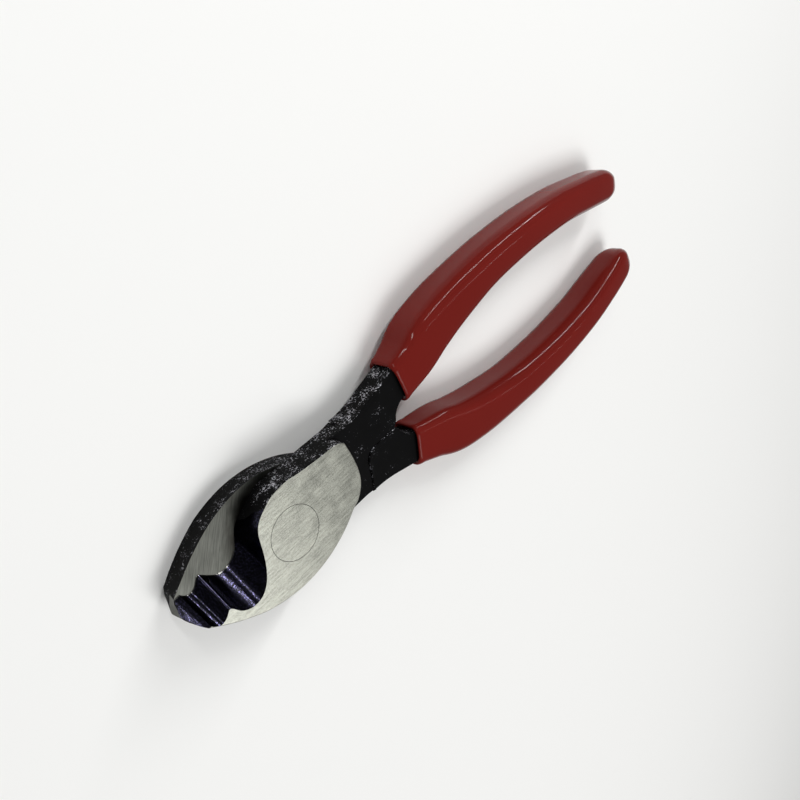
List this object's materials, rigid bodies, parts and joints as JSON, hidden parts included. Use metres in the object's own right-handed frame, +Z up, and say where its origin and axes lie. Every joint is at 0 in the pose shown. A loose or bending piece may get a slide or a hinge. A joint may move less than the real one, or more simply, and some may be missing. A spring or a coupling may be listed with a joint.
{
  "type": "hand bolt and cable cutter",
  "caption": "Hand shear cutter with two lapped forged steel halves on one flush rivet, scalloped bevelled jaws and bowed vinyl-dipped handles.",
  "frame": {"origin": "centre of the pivot rivet's lower end face, on the surface the tool lies on", "axes": "+X towards the jaws, +Z up along the rivet, +Y completes a right-handed frame; jaws closed at rest"},
  "size_m": [0.2355, 0.0658, 0.018],
  "materials": {
    "forged_steel": "black forged, ground bright on the head faces",
    "rivet_steel": "ground bright",
    "grip_vinyl": "glossy dipped vinyl"
  },
  "bodies": {
    "lower_cutter": {"lower_half": "forged_steel", "pivot_rivet": "rivet_steel", "lower_grip": "grip_vinyl"},
    "upper_cutter": {"upper_half": "forged_steel", "upper_grip": "grip_vinyl"}
  },
  "joints": [
    {"name": "pivot", "type": "hinge", "parent": "lower_cutter", "child": "upper_cutter", "pos_m": [0, 0, 0.009], "axis": [0, 0, 1], "range_deg": [0, 40]}
  ]
}
